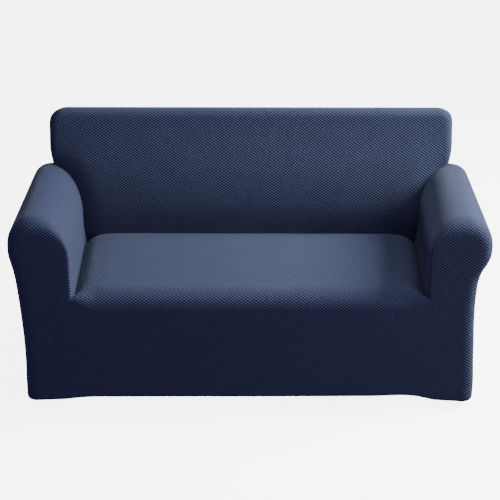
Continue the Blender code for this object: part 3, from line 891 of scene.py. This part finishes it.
def cloth_piece(panel, faces):
    """A panel as a closed sheet of cloth, with its weave."""
    used, corners = np.unique(faces, return_inverse=True)
    corners = corners.reshape(faces.shape)
    outer = cover[used] + np.array(shift)
    inner = outer - CLOTH_THICKNESS * normals[used]
    quads = [list(dict.fromkeys(face)) for face in corners.tolist()]
    quads = [face for face in quads if len(face) > 2]
    count = len(used)
    edges = {}
    for face in quads:
        for a, b in zip(face, face[1:] + face[:1]):
            edges[a, b] = True
    rim = [(a, b) for a, b in edges if (b, a) not in edges]
    sheet_faces = quads + [[i + count for i in face[::-1]] for face in quads]
    sheet_faces += [[b, a, a + count, b + count] for a, b in rim]
    mesh = bpy.data.meshes.new(panel.node + "_cloth")
    mesh.from_pydata(np.concatenate([outer, inner]).tolist(), [], sheet_faces)
    mesh.materials.append(jacquard)
    mesh.shade_smooth()

    start = starts[panels.index(panel)]
    own = same[start:start + panel.count]
    flat = {}
    for name, values in (("weave", panel.weave), ("front_weave", panel.front_weave)):
        values = np.concatenate(values)
        per_point = np.zeros((len(cover), 2))
        per_point[own] = values
        flat[name] = np.concatenate([per_point[used]] * 2)
    corner_points = np.zeros(len(mesh.loops), dtype=np.int64)
    mesh.loops.foreach_get("vertex_index", corner_points)
    for name, values in flat.items():
        layer = mesh.uv_layers.new(name=name)
        layer.data.foreach_set("uv", values[corner_points].reshape(-1).astype(np.float32))
    for name, values in (("front_share", panel.front_shares), ("tension", panel.tension)):
        per_point = np.zeros(len(cover))
        per_point[own] = np.concatenate(values)
        shares = mesh.attributes.new(name, "FLOAT", "POINT")
        shares.data.foreach_set("value", np.tile(per_point[used], 2).astype(np.float32))
    both = np.concatenate([normals[used], -normals[used]])
    mesh.normals_split_custom_set_from_vertices(both.tolist())
    piece = bpy.data.objects.new(panel.node + "_cloth", mesh)
    bpy.context.scene.collection.objects.link(piece)
    return piece


for panel, faces in zip(panels, panel_faces):
    piece = cloth_piece(panel, faces)
    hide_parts(panel.node)
    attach(piece, "root")


# ---------------------------------------------------------------------------------- studio
# A plain pale floor under the cover, soft light from above and from the right, and the
# camera a little above it, in front.

FLOOR_COLOUR = (0.80, 0.80, 0.80, 1)
FLOOR_GLOW = 5.5
FLOOR_SIZE = 60
WORLD_COLOUR, WORLD_STRENGTH = (0.60, 0.50, 1.0, 1), 0.36
CAMERA_PLACE = (0.025, -4.263, 2.395)
CAMERA_PITCH = math.radians(23)
CAMERA_LENS, SENSOR = 102.56, 36.0
CAMERA_AIM = math.radians(0.326)

bpy.ops.object.select_all(action="DESELECT")
bpy.ops.mesh.primitive_plane_add(size=FLOOR_SIZE, location=(0, 0, shift.z))
floor = bpy.context.object
floor.name = "floor"
floor_material = bpy.data.materials.new("pale_floor")
floor_material.use_nodes = True
floor_shader = floor_material.node_tree.nodes["Principled BSDF"]
floor_shader.inputs["Base Color"].default_value = FLOOR_COLOUR
floor_shader.inputs["Roughness"].default_value = 0.9
floor_shader.inputs["Emission Color"].default_value = (1, 1, 1, 1)
floor_shader.inputs["Emission Strength"].default_value = FLOOR_GLOW
floor.data.materials.append(floor_material)
floor.visible_diffuse = False
floor.visible_glossy = False
floor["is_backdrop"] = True

LAMPS = (
    # name, place, aim, width, length, watts
    ("softbox_right", (2.8, 0.48, 2.3), (0.0, 0.3, 0.45), 1.4, 1.4, 310),
    ("softbox_above", (0.9, -0.2, 3.2), (0.0, 0.35, 0.4), 1.2, 1.2, 46),
    ("fill_front", (2.2, -2.0, 1.2), (0.4, 0.0, 0.4), 1.0, 1.0, 16),
)
for name, place, aim, width, length, watts in LAMPS:
    light = bpy.data.lights.new(name, "AREA")
    light.shape = "RECTANGLE"
    light.size, light.size_y = width, length
    light.energy = watts
    lamp = bpy.data.objects.new(name, light)
    lamp.location = Vector(place) + shift
    lamp.rotation_euler = (Vector(aim) - Vector(place)).to_track_quat("-Z", "Y").to_euler()
    bpy.context.scene.collection.objects.link(lamp)

world = bpy.data.worlds.new("studio")
bpy.context.scene.world = world
world.use_nodes = True
sky = world.node_tree.nodes["Background"]
sky.inputs["Color"].default_value = WORLD_COLOUR
sky.inputs["Strength"].default_value = WORLD_STRENGTH

camera = bpy.data.objects.new("camera", bpy.data.cameras.new("camera"))
camera.data.lens, camera.data.sensor_width = CAMERA_LENS, SENSOR
camera.location = Vector(CAMERA_PLACE) + shift
camera.rotation_euler = (math.radians(90) - CAMERA_PITCH, 0, CAMERA_AIM)
bpy.context.scene.collection.objects.link(camera)
bpy.context.scene.camera = camera

low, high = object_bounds()
